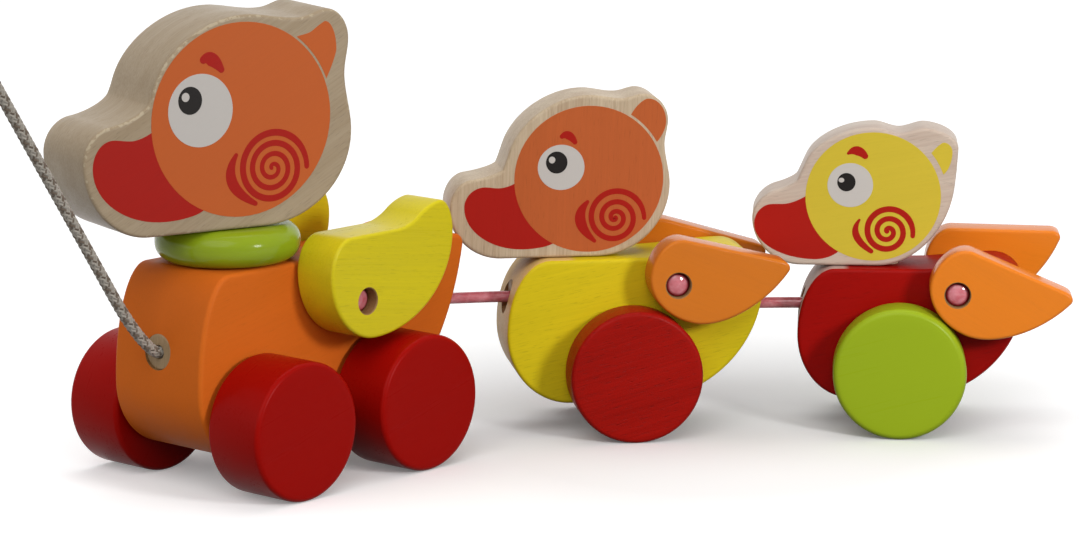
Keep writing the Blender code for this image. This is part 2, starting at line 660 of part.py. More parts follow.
pivot = (DUCKLING_2_PIVOT_SETBACK, 0, WHEEL_DIAMETER / 2 + DUCKLING_2_PIVOT_RISE)
duckling(
    "duckling_2", tail, link_2_height, LINK_2_BEND, BEAK_2_OVERHANG, DUCKLING_2_HEADING,
    DUCKLING_2_BODY, DUCKLING_2_BACK,
    (DUCKLING_2_HEAD, DUCKLING_2_HEAD_WIDTH, DUCKLING_2_NECK, DUCKLING_2_BEAK, pivot, DUCKLING_2_DROOP,
     RED, LIME))

# Origin at the middle of the toy's footprint, measured without the pull cord
bpy.context.view_layer.update()
graph = bpy.context.evaluated_depsgraph_get()
corners = []
for piece in toy.objects:
    if piece.type != "EMPTY" and not piece.name.startswith("pull_cord"):
        shape = piece.evaluated_get(graph)
        mesh = shape.to_mesh()
        corners += [shape.matrix_world @ v.co for v in mesh.vertices]
        shape.to_mesh_clear()
low = [min(c[i] for c in corners) for i in range(3)]
high = [max(c[i] for c in corners) for i in range(3)]
root.location = (-(low[0] + high[0]) / 2, -(low[1] + high[1]) / 2, -low[2])
bpy.context.view_layer.update()
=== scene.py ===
import json
import math

import bmesh
import bpy
import numpy as np
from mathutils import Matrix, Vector


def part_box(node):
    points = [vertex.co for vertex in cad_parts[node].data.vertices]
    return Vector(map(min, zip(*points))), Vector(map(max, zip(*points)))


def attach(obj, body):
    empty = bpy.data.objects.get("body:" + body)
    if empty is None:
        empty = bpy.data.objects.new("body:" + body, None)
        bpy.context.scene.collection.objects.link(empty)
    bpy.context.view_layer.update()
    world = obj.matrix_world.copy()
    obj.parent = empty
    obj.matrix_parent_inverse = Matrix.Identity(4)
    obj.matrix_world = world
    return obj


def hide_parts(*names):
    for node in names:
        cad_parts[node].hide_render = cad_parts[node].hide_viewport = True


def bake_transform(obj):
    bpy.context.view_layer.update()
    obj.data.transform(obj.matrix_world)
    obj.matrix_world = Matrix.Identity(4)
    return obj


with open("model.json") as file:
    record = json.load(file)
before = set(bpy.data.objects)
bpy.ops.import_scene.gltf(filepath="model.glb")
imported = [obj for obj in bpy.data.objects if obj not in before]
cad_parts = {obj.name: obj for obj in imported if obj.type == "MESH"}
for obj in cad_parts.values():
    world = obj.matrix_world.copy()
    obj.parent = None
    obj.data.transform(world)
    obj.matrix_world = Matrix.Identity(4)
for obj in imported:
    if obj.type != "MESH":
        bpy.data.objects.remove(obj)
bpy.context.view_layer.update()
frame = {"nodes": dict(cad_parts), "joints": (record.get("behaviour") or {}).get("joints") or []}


# Studio: a sheet of white paper in a room with white walls. Near the toy the paper is painted a touch
# greyer and glows less, a painted shade against the lamps' pool of light so that its soft shadows aren't
# bleached. A small lamp stands low on the right and a weak one on the left, and two wide soft ones shine
# from the front and from overhead. The camera is a little above the ducks' heads.

def linear(code):
    """Linear colour, with full alpha, of an sRGB hex code."""
    parts = np.array([int(code[i:i + 2], 16) for i in (1, 3, 5)]) / 255
    return (*np.where(parts <= 0.04045, parts / 12.92, ((parts + 0.055) / 1.055) ** 2.4), 1.0)


def node(tree, kind, inputs, **settings):
    """Adds a shader node. Inputs give each socket a value or another node's output to link to."""
    added = tree.nodes.new("ShaderNode" + kind)
    for key, value in settings.items():
        setattr(added, key, value)
    for key, value in inputs.items():
        if isinstance(value, bpy.types.NodeSocket):
            tree.links.new(value, added.inputs[key])
        else:
            added.inputs[key].default_value = value
    return added


def shown(tree):
    """1 for rays that show a surface to the camera, straight, in a gloss or through clear plastic."""
    ray = node(tree, "LightPath", {}).outputs
    seen = node(tree, "Math", {0: ray["Is Camera Ray"], 1: ray["Is Glossy Ray"]}, operation="MAXIMUM")
    seen = node(tree, "Math", {0: seen.outputs[0], 1: ray["Is Transmission Ray"]}, operation="MAXIMUM")
    return seen.outputs[0]


scene = bpy.context.scene
scene.view_settings.view_transform = "Standard"
lens = bpy.data.cameras.new("camera")
lens.sensor_width = 36.0
lens.lens = 133.333
camera = bpy.data.objects.new("camera", lens)
camera.location = (-0.0121, -1.29566, 0.3096)
looks_down = 0.1882
camera.rotation_euler = (math.pi / 2 - looks_down, 0.0, 0.0)
scene.collection.objects.link(camera)
scene.camera = camera

# Matt paper has no gloss at all. It looks white, but throws little light up under the toy.
paper = bpy.data.materials.new("white_paper")
paper.use_nodes = True
tree = paper.node_tree
shader = tree.nodes["Principled BSDF"]
shader.inputs["Roughness"].default_value = 1.0
shader.inputs["Specular IOR Level"].default_value = 0.0
white, painted_shade_by_toy, thrown = (linear(code) for code in ("#FFFFFF", "#EEEEEE", "#5E5E5E"))
toy_middle, near, far = (0.045, 0.015, 0.0), 0.07, 0.19
near_lift, far_lift = 0.08, 0.24
seen = shown(tree)
place = node(tree, "TexCoord", {}).outputs["Object"]
# Painted shade: near the toy the paper's colour falls to a light grey and its glow weakens, against the
# lamps' pool of light there.
away = node(tree, "VectorMath", {0: place, 1: toy_middle}, operation="DISTANCE").outputs["Value"]
away = node(tree, "MapRange", {"Value": away, "From Min": near, "From Max": far}).outputs[0]
tone = node(tree, "Mix", {0: away, 6: painted_shade_by_toy, 7: white}, data_type="RGBA").outputs[2]
tone = node(tree, "Mix", {0: seen, 6: thrown, 7: tone}, data_type="RGBA").outputs[2]
tree.links.new(tone, shader.inputs["Base Color"])
lift = node(tree, "MapRange", {"Value": away, "To Min": near_lift, "To Max": far_lift}).outputs[0]
lift = node(tree, "Math", {0: seen, 1: lift}, operation="MULTIPLY").outputs[0]
glow = node(tree, "Emission", {"Color": white, "Strength": lift})
lit = node(tree, "AddShader", {0: shader.outputs[0], 1: glow.outputs[0]})
tree.links.new(lit.outputs[0], tree.nodes["Material Output"].inputs["Surface"])
sheet = bpy.data.meshes.new("floor")
sheet.from_pydata([(-6, -6, 0), (6, -6, 0), (6, 6, 0), (-6, 6, 0)], [], [(0, 1, 2, 3)])
sheet.materials.append(paper)
floor = bpy.data.objects.new("floor", sheet)
scene.collection.objects.link(floor)

walls = bpy.data.worlds.new("white_walls")
walls.use_nodes = True
scene.world = walls
tree = walls.node_tree
wall_light, wall_shown = 0.38, 1.0
level = node(tree, "MapRange", {"Value": shown(tree), "To Min": wall_light, "To Max": wall_shown})
tree.links.new(level.outputs[0], tree.nodes["Background"].inputs["Strength"])
tree.nodes["Background"].inputs["Color"].default_value = white

aim = Vector((0.0, 0.02, 0.06))
for lamp, size, power, stand in (
        ("key", 0.12, 1.8, (0.40, -0.43, 0.25)),
        ("fill", 0.4, 0.4, (-0.70, -0.37, 0.27))):
    disk = bpy.data.lights.new(lamp, "AREA")
    disk.shape = "DISK"
    disk.size = size
    disk.energy = power
    holder = bpy.data.objects.new(lamp, disk)
    holder.location = stand
    holder.rotation_euler = (aim - holder.location).to_track_quat("-Z", "Y").to_euler()
    scene.collection.objects.link(holder)
for lamp, power, travel in (("front", 1.05, (0.15, 0.73, -0.67)), ("overhead", 0.76, (0.0, -0.3, -0.95))):
    soft = bpy.data.lights.new(lamp, "SUN")
    soft.angle = math.radians(45)
    soft.energy = power
    holder = bpy.data.objects.new(lamp, soft)
    holder.rotation_euler = Vector(travel).to_track_quat("-Z", "Y").to_euler()
    scene.collection.objects.link(holder)


# Bodies: planks of beech, band sawn to a duck's shape, with a rounded edge and drilled for axles, wings,
# neck and plugs. The mother is painted all over. The ducklings are painted too, but the rim of the chest
# between their faces is left bare.

across, upright = (0.0, 1.0, 0.0), (0.0, 0.0, 1.0)


def outline(points, closed=True, steps=28):
    """Line through (x, z, heading) points, each stretch a cubic Bezier curve whose handles lie 0.5523
    of the way to where the two headings cross, as on a quarter of an ellipse. Where they don't cross
    ahead, the handles are a third of the stretch."""
    quarter, least_turn = 0.5523, 0.02
    knots = np.array(points, float)
    now, then = (knots, np.roll(knots, -1, 0)) if closed else (knots[:-1], knots[1:])
    a, b = now[:, :2], then[:, :2]
    u, v = (np.stack([np.cos(np.radians(k[:, 2])), np.sin(np.radians(k[:, 2]))], 1) for k in (now, then))
    d = b - a
    turn = u[:, 0] * v[:, 1] - u[:, 1] * v[:, 0]
    safe = np.where(np.abs(turn) > least_turn, turn, 1)
    before = (d[:, 0] * v[:, 1] - d[:, 1] * v[:, 0]) / safe
    after = (u[:, 0] * d[:, 1] - u[:, 1] * d[:, 0]) / safe
    ahead = (np.abs(turn) > least_turn) & (before > 0) & (after > 0)
    third = 0.6 * np.linalg.norm(d, axis=1)
    p = a + u * np.where(ahead, before, third)[:, None] * quarter
    q = b - v * np.where(ahead, after, third)[:, None] * quarter
    t = (np.arange(steps) / steps)[None, :, None]
    a, b, p, q = (k[:, None] for k in (a, b, p, q))
    line = (a * (1 - t) ** 3 + p * 3 * t * (1 - t) ** 2 + q * 3 * t * t * (1 - t) + b * t ** 3).reshape(-1, 2)
    return line if closed else np.concatenate([line, b[-1]])


def skin(grid, ring=False):
    """Points and faces of a grid whose rows each go once round: four-sided faces between rows, and
    a flat end on the first and last row unless the rows come round too."""
    rows, columns = grid.shape[:2]
    number = np.arange(rows * columns).reshape(rows, columns)
    above, below = (number, np.roll(number, -1, 0)) if ring else (number[:-1], number[1:])
    sides = np.stack([above, np.roll(above, -1, 1), np.roll(below, -1, 1), below], -1).reshape(-1, 4)
    return grid.reshape(-1, 3), sides, np.zeros((0, columns), int) if ring else number[[0, -1]]


def plank(line, width, edge, middle=0.0):
    """Skin of a plank: an outline in x and z is drawn in by the edge's radius times (1 - sine) while y
    falls from the face by the radius times (1 - cosine), over a quarter turn at each face. One more
    ring, 1.5 radii in, keeps the face's shading flat."""
    area = np.sum(line[:, 0] * np.roll(line[:, 1], -1) - line[:, 1] * np.roll(line[:, 0], -1))
    line = line if area > 0 else line[::-1]
    along = np.roll(line, -1, 0) - np.roll(line, 1, 0)
    out = np.stack([along[:, 1], -along[:, 0]], 1) / np.linalg.norm(along, axis=1)[:, None]
    turn = np.linspace(0, math.pi / 2, 7)
    inset = np.concatenate([[1.5 * edge], edge * (1 - np.sin(turn))])
    rise = width / 2 - np.concatenate([[0], edge * (1 - np.cos(turn))])
    inset, rise = np.concatenate([inset, inset[::-1]]), np.concatenate([rise, -rise[::-1]])
    flat = line[None] - out[None] * inset[:, None, None]
    deep = np.broadcast_to(middle + rise[:, None], flat.shape[:2])
    return skin(np.stack([flat[..., 0], deep, flat[..., 1]], -1))


def turned(profile, base, axis, steps=64, ring=False):
    """Skin of a lathe-turned piece: each (radius, height) of the profile goes once round the axis, at
    base + height * axis + radius * (cosine, sine) in the plane across the axis."""
    profile, axis = np.array(profile, float), np.array(axis, float)
    side = np.cross(axis, (0, 0, 1) if abs(axis[2]) < 0.9 else (1, 0, 0))
    side = side / np.linalg.norm(side)
    around = np.linspace(0, 2 * math.pi, steps, endpoint=False)[:, None]
    spoke = np.cos(around) * side + np.sin(around) * np.cross(axis, side)
    return skin(np.array(base) + profile[:, 1, None, None] * axis + profile[:, 0, None, None] * spoke, ring)


def made(name, material, *skins):
    """One object of a material from closed skins, its faces turned outwards."""
    count = np.cumsum([0] + [len(points) for points, _, _ in skins])
    faces = []
    for start, (_, sides, ends) in zip(count, skins):
        faces += (sides + start).tolist() + (ends + start).tolist()
    mesh = bpy.data.meshes.new(name)
    mesh.from_pydata(np.concatenate([points for points, _, _ in skins]), [], faces)
    bm = bmesh.new()
    bm.from_mesh(mesh)
    bmesh.ops.recalc_face_normals(bm, faces=bm.faces)
    bm.to_mesh(mesh)
    bm.free()
    mesh.materials.append(material)
    piece = bpy.data.objects.new(name, mesh)
    scene.collection.objects.link(piece)
    return piece


def bored(piece, holes):
    """Takes holes, each a turned skin, out of a piece. Their walls are bare wood."""
    drills = [made("drill", bare_bore, hole) for hole in holes]
    for drill in drills:
        cut = piece.modifiers.new("bore", "BOOLEAN")
        cut.object = drill
        cut.material_mode = "TRANSFER"
    bpy.context.view_layer.update()
    graph = bpy.context.evaluated_depsgraph_get()
    mesh = bpy.data.meshes.new_from_object(piece.evaluated_get(graph))
    piece.modifiers.clear()
    piece.data = mesh
    for drill in drills:
        bpy.data.objects.remove(drill)


def axes(axle):
    """X, Y and Z of a duck's frame from the direction of its axle: X points to the tail."""
    return np.stack([np.cross(axle, upright), axle, upright])


def middle(name):
    """Middle of a CAD node's box."""
    low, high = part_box(name)
    return (np.array(low) + np.array(high)) / 2


def within(home, point):
    """A point of the world in a frame given by its origin and its Y axis."""
    return axes(home[1]) @ (np.array(point) - home[0])


def marked(piece, name, values):
    """Keeps a value for each point of a piece, as an attribute that its material reads."""
    piece.data.attributes.new(name, "FLOAT", "POINT").data.foreach_set("value", np.ravel(values))


def placed(piece, home, width, grain, body, slot, *nodes):
    """Moves a piece from its own frame to its place and finishes it.

    Home is the frame's origin and its Y axis. Each point keeps two attributes: where it lies along,
    through and across the grain, which is turned by an angle in the plank's plane, and how many
    millimetres below the plank's face it is.
    """
    mesh = piece.data
    points = np.zeros(len(mesh.vertices) * 3)
    mesh.vertices.foreach_get("co", points)
    points = points.reshape(-1, 3)
    cosine, sine = math.cos(math.radians(grain)), math.sin(math.radians(grain))
    fibre = points @ np.array([[cosine, 0, -sine], [0, 1, 0], [sine, 0, cosine]])
    mesh.attributes.new("grain", "FLOAT_VECTOR", "POINT").data.foreach_set("vector", fibre.ravel())
    marked(piece, "depth", (width / 2 - np.abs(points[:, 1])) * 1000)
    mesh.vertices.foreach_set("co", (np.array(home[0]) + points @ axes(home[1])).ravel())
    mesh.shade_smooth()
    mesh.set_sharp_from_angle(angle=math.radians(32))
    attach(piece, body)
    if nodes:
        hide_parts(*nodes)
    return piece


def timber(name, paint=None, gloss=0.42, bare_chest=None, wear=0.0, light="#C4B299", dark="#A8947A",
           show=1.0, shine=0.12, rod=None):
    """Beech with a clear coat, or painted.

    Streaks of growth are 0.7 mm wide and 30 mm long, a broad figure is 9 mm by 120 mm, and pores
    are dashes of 0.3 mm by 4 mm. Paint sinks in along them and lets them show as much as asked for.
    Blots of 1.4 mm make the paint's border ragged where the chest's rim is bare from some millimetres
    below the face, and chip the wood pale near the edge of a worn face. A rod's grain follows its axis.
    """
    material = bpy.data.materials.new(name)
    material.use_nodes = True
    tree = material.node_tree
    shader = tree.nodes["Principled BSDF"]
    if rod is None:
        place = node(tree, "Attribute", {}, attribute_name="grain").outputs["Vector"]
    else:
        turn = Vector(rod).rotation_difference(Vector((1.0, 0.0, 0.0))).to_euler()
        place = node(tree, "TexCoord", {}).outputs["Object"]
        place = node(tree, "Mapping", {"Vector": place, "Rotation": turn}).outputs[0]
    layers = []
    for long, wide, detail in ((0.030, 0.0007, 3.0), (0.120, 0.009, 2.0), (0.004, 0.0003, 1.0)):
        stretched = node(tree, "Mapping", {"Vector": place, "Scale": (1 / long, 1 / wide, 1 / wide)})
        noise = node(tree, "TexNoise", {"Vector": stretched.outputs[0], "Scale": 1.0, "Detail": detail})
        layers.append(noise.outputs["Fac"])
    streak, figure, dash = layers
    pore = node(tree, "MapRange", {"Value": dash, "From Min": 0.62, "From Max": 0.74}).outputs[0]
    tone = node(tree, "MapRange", {"Value": streak, "From Min": 0.3, "From Max": 0.7}).outputs[0]
    broad = node(tree, "MapRange", {"Value": figure, "From Min": 0.32, "From Max": 0.68}).outputs[0]
    broad_share, pore_shade = 0.45, 0.8
    mixed = node(tree, "Mix", {0: broad_share, 2: tone, 3: broad}).outputs[0]
    bare = node(tree, "Mix", {0: mixed, 6: linear(light), 7: linear(dark)}, data_type="RGBA").outputs[2]
    shade = node(tree, "Mix", {0: pore, 2: 1.0, 3: pore_shade}).outputs[0]
    colour = node(tree, "VectorMath", {0: bare, "Scale": shade}, operation="SCALE").outputs[0]
    blots_per_metre = 700.0
    blot = node(tree, "Mapping", {"Vector": place, "Scale": (blots_per_metre,) * 3})
    blot = node(tree, "TexNoise", {"Vector": blot.outputs[0], "Scale": 1.0, "Detail": 2.0}).outputs["Fac"]
    deep = node(tree, "Attribute", {}, attribute_name="depth").outputs["Fac"]
    if paint:
        darker, lighter, sunken = 1 - 0.09 * show, 1 + 0.06 * show, 1 - 0.16 * show
        thin = node(tree, "MapRange", {"Value": mixed, "To Min": darker, "To Max": lighter}).outputs[0]
        sunk = node(tree, "Mix", {0: pore, 2: 1.0, 3: sunken}).outputs[0]
        sunk = node(tree, "Math", {0: sunk, 1: thin}, operation="MULTIPLY").outputs[0]
        coat = node(tree, "VectorMath", {0: linear(paint)[:3], "Scale": sunk}, operation="SCALE").outputs[0]
        if bare_chest is None:
            colour = coat
        else:
            ragged, border, chest_from, chest_to = 0.2, 0.12, -0.010, -0.012
            rim = node(tree, "MapRange", {"Value": blot, "To Min": -ragged, "To Max": ragged}).outputs[0]
            rim = node(tree, "Math", {0: deep, 1: rim}, operation="ADD").outputs[0]
            rim = node(tree, "MapRange", {
                "Value": rim, "From Min": bare_chest, "From Max": bare_chest + border}).outputs[0]
            ahead = node(tree, "SeparateXYZ", {0: place}).outputs["X"]
            ahead = node(tree, "MapRange", {"Value": ahead, "From Min": chest_from, "From Max": chest_to})
            rim = node(tree, "Math", {0: rim, 1: ahead.outputs[0]}, operation="MULTIPLY").outputs[0]
            colour = node(tree, "Mix", {0: rim, 6: coat, 7: colour}, data_type="RGBA").outputs[2]
    if wear:
        sound, worn, pull = 1.5, 0.4, 0.45
        near = node(tree, "MapRange", {"Value": deep, "From Min": sound, "From Max": worn, "To Max": pull})
        chip = node(tree, "Math", {0: blot, 1: near.outputs[0]}, operation="ADD").outputs[0]
        chip = node(tree, "Math", {0: chip, 1: figure}, operation="ADD").outputs[0]
        chip = node(tree, "MapRange", {
            "Value": chip, "From Min": 1.55, "From Max": 1.62, "To Max": wear}).outputs[0]
        off_face = node(tree, "MapRange", {"Value": deep, "From Min": 0.0, "From Max": 0.05}).outputs[0]
        chip = node(tree, "Math", {0: chip, 1: off_face}, operation="MULTIPLY").outputs[0]
        colour = node(tree, "Mix", {0: chip, 6: colour, 7: linear("#D8CCB0")}, data_type="RGBA").outputs[2]
    tree.links.new(colour, shader.inputs["Base Color"])
    rough = node(tree, "MapRange", {"Value": mixed, "To Min": gloss - 0.05, "To Max": gloss + 0.07})
    tree.links.new(rough.outputs[0], shader.inputs["Roughness"])
    relief = node(tree, "Math", {0: streak, 1: pore}, operation="SUBTRACT").outputs[0]
    bump = node(tree, "Bump", {"Height": relief, "Strength": 0.25 * show, "Distance": 0.0001}).outputs[0]
    tree.links.new(bump, shader.inputs["Normal"])
    shader.inputs["Specular IOR Level"].default_value = shine
    return material


joints = {joint["name"]: joint for joint in frame["joints"]}
front, rear, first, second = (
    joints[name + "_wheels_roll"] for name in ("mother_front", "mother_rear", "duckling_1", "duckling_2"))
homes = {
    "mother": ((np.array(front["pos_m"]) + np.array(rear["pos_m"])) / 2, front["axis"]),
    "duckling_1": (np.array(first["pos_m"]), first["axis"]),
    "duckling_2": (np.array(second["pos_m"]), second["axis"]),
}
wheelbase = float(np.linalg.norm(np.array(rear["pos_m"]) - np.array(front["pos_m"])))
body_edge = {"mother": 0.0015, "duckling_1": 0.0013, "duckling_2": 0.0013}
body_width = {"mother": 0.040, "duckling_1": 0.028, "duckling_2": 0.028}
body_grain = 12
body_lines = {
    "mother": [(-0.0385, 0.0492, 180), (-0.0523, 0.0115, 270), (-0.0308, -0.0115, 0), (0.022, -0.0115, 0),
               (0.0702, 0.044, 79), (0.066, 0.0482, 180), (0.049, 0.0457, 180),
               (0.024, 0.0457, 180), (0.010, 0.0492, 180)],
    "duckling_1": [(-0.027, 0.038, 180), (-0.042, 0.0125, 270), (-0.020, -0.0115, 0), (0.005, -0.0115, 0),
                   (0.046, 0.029, 90), (0.035, 0.040, 180), (0.004, 0.038, 180)],
    "duckling_2": [(-0.022, 0.0333, 180), (-0.0347, 0.0105, 270), (-0.017, -0.0115, 0), (0.003, -0.0115, 0),
                   (0.042, 0.026, 90), (0.032, 0.0353, 180), (0.005, 0.0333, 180)],
}
# A drilled wall is rough and brown. Orange paint lies thick and satin over the grain, which shows more
# through the ducklings' yellow and red. Their bare chest wood is pale, with a yellow tint on the first and
# a pink one on the second that is a painted reflection of light from their painted faces.
bare_bore = timber("drilled_beech", None, 0.7, light="#A47F54", dark="#86623C")
body_finish = {
    "mother": ("orange_paint", timber("orange_painted_beech", "#D86B1F", 0.45, show=0.4, shine=0.07)),
    # The light and dark bare wood below is tinted by painted reflection: yellow from the first duckling's
    # faces, pink from the second's.
    "duckling_1": ("yellow_paint", timber("yellow_painted_beech", "#DCC518", 0.42, bare_chest=0.6,
                                          light="#F0CB80", dark="#DCB264")),
    "duckling_2": ("red_paint", timber("red_painted_beech", "#9C0A05", 0.4, bare_chest=0.8,
                                       light="#C8ABA2", dark="#B8968E", shine=0.08)),
}
plug_names = {
    "mother": (("cord_plug", -1), ("mother_tail_plug", 1)),
    "duckling_1": (("duckling_1_chest_plug", -1), ("duckling_1_tail_plug", 1)),
    "duckling_2": (("duckling_2_chest_plug", -1),),
}
chest_setback = 0.0013
plug_seats = {name: middle(name) for plugs in plug_names.values() for name, _ in plugs}
plug_seats["cord_plug"] = plug_seats["cord_plug"] + chest_setback * axes(front["axis"])[0]
axle_bore, wing_cord_bore, peg_bore, plug_bore = 0.0044, 0.002, 0.0043, 0.0058
peg_depth, plug_half, knot_room, drill_past = 0.008, 0.003, 0.0076, 0.02
screw_head_bore, screw_bore, dowel_bore = 0.0044, 0.0024, 0.0064
neck_from, screw_head_top, dowel_foot, neck_to = -0.03, -0.007, 0.0212, 0.07
for duck, line in body_lines.items():
    home, width = homes[duck], body_width[duck]
    slot, finish = body_finish[duck]
    body = made(duck + "_plank", finish, plank(outline(line), width, body_edge[duck]))
    holes = [turned([(axle_bore, -width), (axle_bore, width)], (x, 0, 0), across, 40)
             for x in ((-wheelbase / 2, wheelbase / 2) if duck == "mother" else (0,))]
    wing_hole = within(home, middle(duck + "_wing_cord"))
    holes.append(turned([(wing_cord_bore, -width), (wing_cord_bore, width)], wing_hole, across, 32))
    if duck == "mother":
        neck_x = within(home, joints["mother_head_turn"]["pos_m"])[0]
        neck = [(screw_head_bore, neck_from), (screw_head_bore, screw_head_top),
                (screw_bore, screw_head_top), (screw_bore, dowel_foot),
                (dowel_bore, dowel_foot), (dowel_bore, neck_to)]
        holes.append(turned(neck, (neck_x, 0, 0), upright, 40))
    else:
        top = line[0][1]
        peg_hole = [(peg_bore, top - peg_depth), (peg_bore, top + drill_past)]
        for end in ("_front_peg", "_rear_peg"):
            peg_x = within(home, middle(duck + end))[0]
            holes.append(turned(peg_hole, (peg_x, 0, 0), upright, 32))
    for name, side in plug_names[duck]:
        plug_hole = [(plug_bore, -plug_half - knot_room), (plug_bore, drill_past)]
        holes.append(turned(plug_hole, within(home, plug_seats[name]), (side, 0, 0), 48))
    bored(body, holes)
    placed(body, home, width, body_grain, duck, slot, duck + "_body")


# Wheels: discs of beech turned on a lathe, with a rounded rim and a blind hole for the glued axle,
# sprayed in gloss paint. The first duckling's have only a thin coat, so that their grain shows. The
# axles are plain birch rods.

def arc(radius, height, edge, count, up):
    """Quarter round of a profile between rim and face: radius and height vary as sine and cosine."""
    t = np.linspace(0, math.pi / 2, count)
    points = np.stack([radius - edge + edge * np.sin(t), height - up * edge * (1 - np.cos(t))], 1)
    return points if up > 0 else points[::-1]


def coated(material, *names):
    """Gives CAD nodes that stay as they are a material."""
    for name in names:
        frame["nodes"][name].data.materials.clear()
        frame["nodes"][name].data.materials.append(material)


# Gloss paint fills the pores and reflects softly. The thin coat has dark and light streaks.
red_gloss = timber("red_gloss_painted_beech", "#9E0B05", 0.3, show=0.35, shine=0.05)
red_grained = timber("red_thin_painted_beech", "#A1140D", 0.34, show=2.2, shine=0.06)
lime_gloss = timber("lime_gloss_painted_beech", "#97AD1D", 0.3, show=0.15)
wheel_radius, wheel_gap, face_middle, socket_radius, socket_depth = 0.0225, 0.0012, 0.002, 0.0043, 0.009
for duck, ends, width, edge, finish, slot in (
        ("mother", ("front_", "rear_"), 0.0225, 0.0016, red_gloss, "red_paint"),
        ("duckling_1", ("",), 0.0145, 0.0015, red_grained, "red_paint"),
        ("duckling_2", ("",), 0.0145, 0.0021, lime_gloss, "lime_paint")):
    inner = body_width[duck] / 2 + wheel_gap
    profile = np.concatenate([
        [(face_middle, inner + width), (wheel_radius - 2 * edge, inner + width)],
        arc(wheel_radius, inner + width, edge, 7, 1), arc(wheel_radius, inner, edge, 7, -1),
        [(wheel_radius - 2 * edge, inner), (socket_radius, inner), (socket_radius, inner + socket_depth),
         (face_middle, inner + socket_depth)]])
    profile[:, 1] -= inner + width / 2
    axis = np.array(homes[duck][1])
    for end in ends:
        for hand, side, grain in (("left", -1, 15), ("right", 1, 55)):
            name = f"{duck}_{end}{hand}_wheel"
            centre = joints[f"{duck}_{end}wheels_roll"]["pos_m"]
            wheel = made(name + "_disc", finish, turned(profile * (1, side), (0, 0, 0), across, 96))
            home = (np.array(centre) + side * (inner + width / 2) * axis, homes[duck][1])
            placed(wheel, home, width, grain, f"{duck}_{end}wheels", slot, name)

# Birch rods are pale and dull, with straight grain along them.
for rod, axis, names in (
        ("axle_birch", front["axis"], ("mother_front_axle", "mother_rear_axle")),
        ("first_axle_birch", first["axis"], ("duckling_1_axle",)),
        ("second_axle_birch", second["axis"], ("duckling_2_axle",)),
        ("dowel_birch", upright, ("neck_dowel", "duckling_1_front_peg", "duckling_1_rear_peg",
                                  "duckling_2_front_peg", "duckling_2_rear_peg"))):
    coated(timber(rod, None, 0.55, rod=axis), *names)


# Neck: a fat turned ring between the mother's body and head, dipped in lime green lacquer, on a
# birch dowel that a zinc plated screw holds from below.

# Lacquer is thick and smooth, and mirrors the lamps sharply.
lacquer = timber("lime_lacquered_beech", "#8FA51C", 0.15, show=0.15, shine=0.16)
low, high = (np.array(corner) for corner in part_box("neck_collar"))
collar_radius, collar_height, collar_edge, collar_bore = 0.0235, 0.012, 0.0056, 0.0063
collar_flat = collar_radius - 1.4 * collar_edge
profile = np.concatenate([
    [(collar_bore, collar_height), (collar_flat, collar_height)],
    arc(collar_radius, collar_height, collar_edge, 14, 1), arc(collar_radius, 0, collar_edge, 14, -1),
    [(collar_flat, 0), (collar_bore, 0)]])
collar = made("neck_ring", lacquer, turned(profile, (0, 0, 0), upright, 112, ring=True))
home = ((*((low + high) / 2)[:2], low[2]), front["axis"])
placed(collar, home, 2 * collar_radius, 0, "mother_head", "lime_paint", "neck_collar")

# Zinc plating is a bright grey metal, cloudy in specks of 0.7 mm.
zinc = bpy.data.materials.new("zinc_plated_steel")
zinc.use_nodes = True
tree = zinc.node_tree
shader = tree.nodes["Principled BSDF"]
place = node(tree, "TexCoord", {}).outputs["Object"]
specks_per_metre = 1500.0
speck = node(tree, "TexNoise", {"Vector": place, "Scale": specks_per_metre, "Detail": 2.0}).outputs["Fac"]
dull = node(tree, "MapRange", {"Value": speck, "To Min": 0.25, "To Max": 0.42}).outputs[0]
tree.links.new(dull, shader.inputs["Roughness"])
shader.inputs["Base Color"].default_value = linear("#C4C7CA")
shader.inputs["Metallic"].default_value = 1.0
coated(zinc, "neck_screw")


# Heads: thinner planks of pale beech with a clear coat, sawn to a duck's head with beak and tuft. The
# saw has chipped the edges of the mother's face, and a little those of the first duckling's. The mother's
# head sits on the neck dowel, and each duckling's is glued on two pegs.

